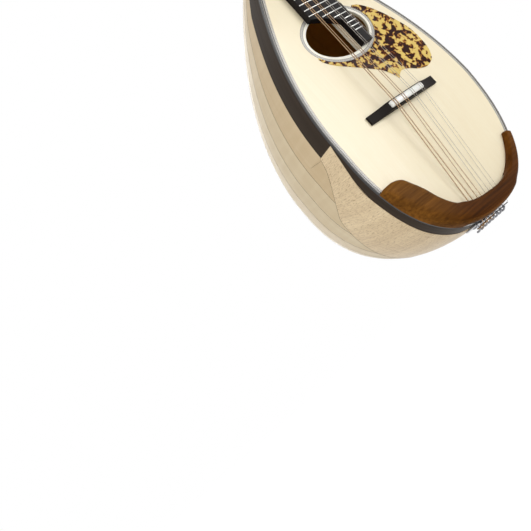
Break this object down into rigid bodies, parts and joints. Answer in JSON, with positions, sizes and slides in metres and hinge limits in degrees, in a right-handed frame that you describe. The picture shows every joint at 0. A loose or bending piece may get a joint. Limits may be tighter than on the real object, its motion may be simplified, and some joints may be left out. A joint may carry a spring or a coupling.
{
  "type": "bowl back mandolin",
  "caption": "Mandolin with a deep ribbed bowl, oval sound hole, fretted neck, paired strings from tail hooks to worm-geared tuners",
  "frame": {"origin": "on the centre line at the body end of the nut, in the plane of the soundboard's face", "axes": "+X from the bass side to the treble side, +Y from the soundboard towards the bowl's back, +Z from the tail to the head"},
  "size_m": [0.197, 0.1604, 0.6256],
  "materials": {
    "spruce": "clear gloss over pale straight-grained spruce",
    "dark_binding": "dark polished edge binding",
    "purfling": "black, white and grey rope inlay under gloss",
    "rosette": "white ring and black, white and grey rope inlay under gloss",
    "tortoise": "yellow and dark brown mottled, glossy",
    "ribs": "pale flamed maple under gloss",
    "clasp": "pale flamed maple under gloss",
    "dark_strip": "dark brown polished wood",
    "inner_wood": "raw pale wood",
    "ebony": "near black satin wood with nickel frets",
    "bone": "polished bone white",
    "bridge_wood": "black satin wood",
    "neck_wood": "pale maple under gloss",
    "chrome": "bright chrome",
    "rosewood": "brown figured rosewood under gloss",
    "wound_string": "copper coloured winding",
    "plain_string": "bright plain wire",
    "ivory": "ivory coloured, glossy",
    "worm_steel": "bright plated steel",
    "gear_brass": "olive brass",
    "post_steel": "bright turned steel"
  },
  "bodies": {
    "instrument": {"soundboard": "spruce", "binding": "dark_binding", "purfling": "purfling", "rosette": "rosette", "pickguard": "tortoise", "bowl_ribs": "ribs", "end_clasp": "clasp", "side_strip_bass": "dark_strip", "side_strip_treble": "dark_strip", "neck_block": "inner_wood", "tail_block": "inner_wood", "fingerboard": "ebony", "nut": "bone", "bridge": "bridge_wood", "saddle": "bone", "neck_and_head": "neck_wood", "tailpiece": "chrome", "armrest": "rosewood", "tuner_plate_bass": "chrome", "tuner_plate_treble": "chrome", "string_1": "wound_string", "string_2": "wound_string", "string_3": "wound_string", "string_4": "wound_string", "string_5": "plain_string", "string_6": "plain_string", "string_7": "plain_string", "string_8": "plain_string"},
    "key_bass_1": {"button_bass_1": "ivory", "worm_bass_1": "worm_steel"},
    "post_gear_bass_1": {"gear_bass_1": "gear_brass", "post_bass_1": "post_steel"},
    "key_bass_2": {"button_bass_2": "ivory", "worm_bass_2": "worm_steel"},
    "post_gear_bass_2": {"gear_bass_2": "gear_brass", "post_bass_2": "post_steel"},
    "key_bass_3": {"button_bass_3": "ivory", "worm_bass_3": "worm_steel"},
    "post_gear_bass_3": {"gear_bass_3": "gear_brass", "post_bass_3": "post_steel"},
    "key_bass_4": {"button_bass_4": "ivory", "worm_bass_4": "worm_steel"},
    "post_gear_bass_4": {"gear_bass_4": "gear_brass", "post_bass_4": "post_steel"},
    "key_treble_1": {"button_treble_1": "ivory", "worm_treble_1": "worm_steel"},
    "post_gear_treble_1": {"gear_treble_1": "gear_brass", "post_treble_1": "post_steel"},
    "key_treble_2": {"button_treble_2": "ivory", "worm_treble_2": "worm_steel"},
    "post_gear_treble_2": {"gear_treble_2": "gear_brass", "post_treble_2": "post_steel"},
    "key_treble_3": {"button_treble_3": "ivory", "worm_treble_3": "worm_steel"},
    "post_gear_treble_3": {"gear_treble_3": "gear_brass", "post_treble_3": "post_steel"},
    "key_treble_4": {"button_treble_4": "ivory", "worm_treble_4": "worm_steel"},
    "post_gear_treble_4": {"gear_treble_4": "gear_brass", "post_treble_4": "post_steel"}
  },
  "joints": [
    {"name": "key_bass_1_turn", "type": "hinge", "parent": "instrument", "child": "key_bass_1", "pos_m": [-0.0169, 0.03243, 0.065], "axis": [-0.995, 0.0208, 0.098], "continuous": true},
    {"name": "post_bass_1_turn", "type": "hinge", "parent": "instrument", "child": "post_gear_bass_1", "pos_m": [-0.01766, 0.03086, 0.05761], "axis": [0, 0.9781, -0.2079], "continuous": true},
    {"name": "key_bass_2_turn", "type": "hinge", "parent": "instrument", "child": "key_bass_2", "pos_m": [-0.01459, 0.03719, 0.08739], "axis": [-0.995, 0.0208, 0.098], "continuous": true},
    {"name": "post_bass_2_turn", "type": "hinge", "parent": "instrument", "child": "post_gear_bass_2", "pos_m": [-0.01535, 0.03562, 0.07999], "axis": [0, 0.9781, -0.2079], "continuous": true},
    {"name": "key_bass_3_turn", "type": "hinge", "parent": "instrument", "child": "key_bass_3", "pos_m": [-0.01229, 0.04195, 0.10977], "axis": [-0.995, 0.0208, 0.098], "continuous": true},
    {"name": "post_bass_3_turn", "type": "hinge", "parent": "instrument", "child": "post_gear_bass_3", "pos_m": [-0.01305, 0.04037, 0.10237], "axis": [0, 0.9781, -0.2079], "continuous": true},
    {"name": "key_bass_4_turn", "type": "hinge", "parent": "instrument", "child": "key_bass_4", "pos_m": [-0.00998, 0.04671, 0.13216], "axis": [-0.995, 0.0208, 0.098], "continuous": true},
    {"name": "post_bass_4_turn", "type": "hinge", "parent": "instrument", "child": "post_gear_bass_4", "pos_m": [-0.01074, 0.04513, 0.12476], "axis": [0, 0.9781, -0.2079], "continuous": true},
    {"name": "key_treble_1_turn", "type": "hinge", "parent": "instrument", "child": "key_treble_1", "pos_m": [0.0169, 0.03243, 0.065], "axis": [0.995, 0.0208, 0.098], "continuous": true},
    {"name": "post_treble_1_turn", "type": "hinge", "parent": "instrument", "child": "post_gear_treble_1", "pos_m": [0.01766, 0.03086, 0.05761], "axis": [0, 0.9781, -0.2079], "continuous": true},
    {"name": "key_treble_2_turn", "type": "hinge", "parent": "instrument", "child": "key_treble_2", "pos_m": [0.01459, 0.03719, 0.08739], "axis": [0.995, 0.0208, 0.098], "continuous": true},
    {"name": "post_treble_2_turn", "type": "hinge", "parent": "instrument", "child": "post_gear_treble_2", "pos_m": [0.01535, 0.03562, 0.07999], "axis": [0, 0.9781, -0.2079], "continuous": true},
    {"name": "key_treble_3_turn", "type": "hinge", "parent": "instrument", "child": "key_treble_3", "pos_m": [0.01229, 0.04195, 0.10977], "axis": [0.995, 0.0208, 0.098], "continuous": true},
    {"name": "post_treble_3_turn", "type": "hinge", "parent": "instrument", "child": "post_gear_treble_3", "pos_m": [0.01305, 0.04037, 0.10237], "axis": [0, 0.9781, -0.2079], "continuous": true},
    {"name": "key_treble_4_turn", "type": "hinge", "parent": "instrument", "child": "key_treble_4", "pos_m": [0.00998, 0.04671, 0.13216], "axis": [0.995, 0.0208, 0.098], "continuous": true},
    {"name": "post_treble_4_turn", "type": "hinge", "parent": "instrument", "child": "post_gear_treble_4", "pos_m": [0.01074, 0.04513, 0.12476], "axis": [0, 0.9781, -0.2079], "continuous": true}
  ],
  "couplings": [
    {"joint": "post_bass_1_turn", "follows": "key_bass_1_turn", "ratio": 0.071429},
    {"joint": "post_bass_2_turn", "follows": "key_bass_2_turn", "ratio": 0.071429},
    {"joint": "post_bass_3_turn", "follows": "key_bass_3_turn", "ratio": 0.071429},
    {"joint": "post_bass_4_turn", "follows": "key_bass_4_turn", "ratio": 0.071429},
    {"joint": "post_treble_1_turn", "follows": "key_treble_1_turn", "ratio": -0.071429},
    {"joint": "post_treble_2_turn", "follows": "key_treble_2_turn", "ratio": -0.071429},
    {"joint": "post_treble_3_turn", "follows": "key_treble_3_turn", "ratio": -0.071429},
    {"joint": "post_treble_4_turn", "follows": "key_treble_4_turn", "ratio": -0.071429}
  ]
}
